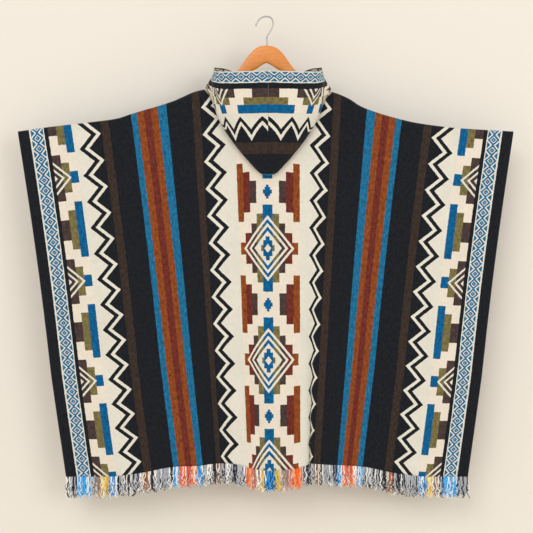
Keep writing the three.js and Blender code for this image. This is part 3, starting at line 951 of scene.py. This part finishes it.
hangerSettings = {
    # half of the board: x, top, bottom, in mm
    "edge": [(0, -68.5, -110), (12, -69.5, -116), (24, -74, -124), (33, -81, -129), (42, -91, -134.5),
             (52, -105, -140), (62, -119, -146), (72, -130.5, -152.5), (90, -144, -163), (110, -159, -176),
             (150, -185, -204), (195, -205, -225), (214, -216, -232)],
    "halfThickness": 5.0,
    "end": 212.0,
    "endRound": 7.5,
    "boardSteps": 90,              # sections along each arm
    "boardSides": 28,
    "squareness": 3.2,
    "grain": {"stretch": (7.0, 60.0, 60.0), "scale": 3.2, "detail": 5.0, "distortion": 0.4},
    "woodTints": [(212, 116, 34), (248, 162, 64)],
    "pores": {"scale": 22.0, "from": 0.62, "depth": 0.35, "tint": (176, 90, 36)},
    "woodBump": (0.15, 0.0004),
    "woodFinish": {"Roughness": 0.38, "Coat Weight": 0.25, "Coat Roughness": 0.25},
    "wire": 3.5,
    "wireSteps": 90,
    "wireSides": 16,
    "haze": 240.0,
    "steelTints": [(150, 148, 144), (196, 194, 190)],
    "steelRoughness": (0.2, 0.24),
    "hook": [(-25.4, -19.9), (-22.6, -13.2), (-18.6, -7), (-11, -0.8), (0, 1.75), (9.4, -0.8), (14.8, -8),
             (15.8, -18), (12, -29), (6.8, -37.5), (2.6, -43.5), (1, -49), (1.2, -57), (1.2, -68)],
}


def lofted(name, rings):
    # a closed skin over rings of points in mm
    mesh = bmesh.new()
    loops = [[mesh.verts.new(point * mm) for point in ring] for ring in rings]
    for a, b in zip(loops, loops[1:]):
        for k in range(len(a)):
            n = (k + 1) % len(a)
            mesh.faces.new([a[k], a[n], b[n], b[k]]).smooth = True
    mesh.faces.new(loops[0])
    mesh.faces.new(loops[-1])
    bmesh.ops.recalc_face_normals(mesh, faces=mesh.faces)
    return meshPiece(name, mesh)


def makeBoard(s):
    # rounded sections along the arms, closed by shrinking towards both ends
    rings, count = [], s["boardSteps"]
    power = 2 / s["squareness"]
    for i in range(-count, count + 1):
        x = (s["end"] + s["endRound"]) * i / count
        top, bottom = [readTable(s["edge"], min(abs(x), s["end"]), column) for column in (1, 2)]
        past = clamp((abs(x) - s["end"]) / s["endRound"], 0, 0.999)
        shrink = math.sqrt(1 - past * past)
        ring = []
        for k in range(s["boardSides"]):
            angle = 2 * math.pi * k / s["boardSides"]
            y = math.copysign(abs(math.cos(angle)) ** power, math.cos(angle)) * s["halfThickness"]
            z = math.copysign(abs(math.sin(angle)) ** power, math.sin(angle)) * (top - bottom) / 2
            ring.append(Vector((x, y * shrink, (top + bottom) / 2 + z * shrink)))
        rings.append(ring)
    return lofted("hangerBoard", rings)


def makeHook(s):
    # a round wire with a domed tip, swept along its given line
    points, _ = catmullRom([Vector((x, 0, z)) for x, z in s["hook"]], s["wireSteps"])
    radius, sides, domeSteps = s["wire"] / 2, s["wireSides"], 5
    ahead = (points[1] - points[0]).normalized()
    path = []
    for k in range(domeSteps):
        back = 1 - k / domeSteps
        path.append((points[0] - ahead * (back * radius), math.sqrt(max(1 - back * back, 0.01))))
    path += [(point, 1.0) for point in points]
    rings = []
    for i, (point, grow) in enumerate(path):
        before, after = path[max(i - 1, 0)][0], path[min(i + 1, len(path) - 1)][0]
        up = Vector((0, 1, 0))
        side = (after - before).normalized().cross(up).normalized()
        angles = [2 * math.pi * k / sides for k in range(sides)]
        rings.append([point + (side * math.cos(a) + up * math.sin(a)) * radius * grow for a in angles])
    return lofted("hangerHook", rings)


def woodMaterial(s):
    material, bench, surface = shaderTree("varnishedBeech")
    place = bench.node("ShaderNodeTexCoord").outputs["Object"]
    grainPlace = bench.stretched(place, s["grain"]["stretch"])
    grain = bench.noise(grainPlace, s["grain"]["scale"], s["grain"]["detail"], 0.5, s["grain"]["distortion"])
    pores = bench.calc("GREATER_THAN", bench.noise(grainPlace, s["pores"]["scale"]), s["pores"]["from"])
    tint = bench.mix(grain, *[colour(*tint) for tint in s["woodTints"]])
    tint = bench.mix(bench.calc("MULTIPLY", pores, s["pores"]["depth"]), tint, colour(*s["pores"]["tint"]))
    bench.put(surface, "Base Color", tint)
    bench.bump(surface, grain, *s["woodBump"])
    bench.finish(surface, s["woodFinish"])
    return material


def steelMaterial(s):
    material, bench, surface = shaderTree("hookSteel")
    haze = bench.noise(bench.node("ShaderNodeTexCoord").outputs["Object"], s["haze"])
    bench.finish(surface, {
        "Base Color": bench.mix(haze, *[colour(*tint) for tint in s["steelTints"]]),
        "Roughness": bench.calc("MULTIPLY_ADD", haze, *s["steelRoughness"]),
        "Metallic": 1.0,
    })
    return material


hangerBoard = makeBoard(hangerSettings)
hangerBoard.data.materials.append(woodMaterial(hangerSettings))
hangerHook = makeHook(hangerSettings)
hangerHook.data.materials.append(steelMaterial(hangerSettings))
print("hanger made")


# the new pieces join the root body, and the CAD parts they stand in for are hidden
for piece in [ponchoBody, fringeBack, fringeFront, hangerBoard, hangerHook, *hoodHalves.values()]:
    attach(piece, "root")
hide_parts("back_panel", "front_panel")
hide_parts("hood_left")
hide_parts("hood_right")
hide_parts("fringe_back")
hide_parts("fringe_front")
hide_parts("hanger_wood")
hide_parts("hanger_hook")


studioSettings = {
    "backdropDistance": 0.11,
    "wallTop": 3.2,
    "floor": -1.78,
    "floorEnd": -7.0,
    "halfWidth": 6.0,
    "curve": 0.45,                 # radius between wall and floor
    "curveSteps": 12,
    "tint": colour(238, 231, 220),
    "aim": (0.0, 0.0, -0.62),
    # name, place, size, power, tint
    "lights": [("keyLight", (-1.7, -5.5, 2.1), (3.2, 2.6), 93.0, (1.0, 0.995, 0.99)),
               ("fillLight", (3.0, -5.2, 0.0), (2.6, 2.4), 61.0, (1.0, 1.0, 1.0)),
               ("frontLight", (0.0, 3.0, 0.6), (2.0, 1.6), 110.0, (1.0, 0.99, 0.97))],
    "air": (colour(250, 250, 250), 0.74),
}


def makeSweep(s):
    # one pale sheet: a wall behind the hanging garment that curves into the floor
    mesh = bmesh.new()
    profile = [(s["backdropDistance"], s["wallTop"])]
    curve = s["curve"]
    for i in range(s["curveSteps"] + 1):
        angle = math.pi / 2 * i / s["curveSteps"]
        profile.append((s["backdropDistance"] - curve + curve * math.cos(angle),
                        s["floor"] + curve - curve * math.sin(angle)))
    profile.append((s["floorEnd"], s["floor"]))
    rows = [[mesh.verts.new((x, y, z)) for x in (-s["halfWidth"], s["halfWidth"])] for y, z in profile]
    for a, b in zip(rows, rows[1:]):
        mesh.faces.new([a[0], b[0], b[1], a[1]]).smooth = True
    sweep = meshPiece("studioSweep", mesh)
    material, bench, surface = shaderTree("paleSweep")
    bench.finish(surface, {"Base Color": s["tint"], "Roughness": 1.0, "Specular IOR Level": 0.0})
    # seen from behind, the sheet is clear
    facing = bench.node("ShaderNodeNewGeometry").outputs["Backfacing"]
    clear = bench.node("ShaderNodeBsdfTransparent").outputs[0]
    shown = bench.node("ShaderNodeMixShader", {0: facing, 1: surface.outputs[0], 2: clear}).outputs[0]
    bench.put(material.node_tree.nodes["Material Output"], 0, shown)
    sweep.data.materials.append(material)


def makeLights(s):
    for name, place, size, power, tint in s["lights"]:
        data = bpy.data.lights.new(name, "AREA")
        data.shape = "RECTANGLE"
        data.size, data.size_y = size
        data.energy = power
        data.color = tint
        lamp = linkObject(name, data)
        lamp.location = place
        lamp.rotation_euler = (Vector(s["aim"]) - Vector(place)).to_track_quat("-Z", "Y").to_euler()
    scene = bpy.context.scene
    scene.world = bpy.data.worlds.new("studioAir")
    scene.world.use_nodes = True
    for slot, value in enumerate(s["air"]):
        scene.world.node_tree.nodes["Background"].inputs[slot].default_value = value
    scene.view_settings.view_transform = "Standard"


makeSweep(studioSettings)
makeLights(studioSettings)
print("studio set")
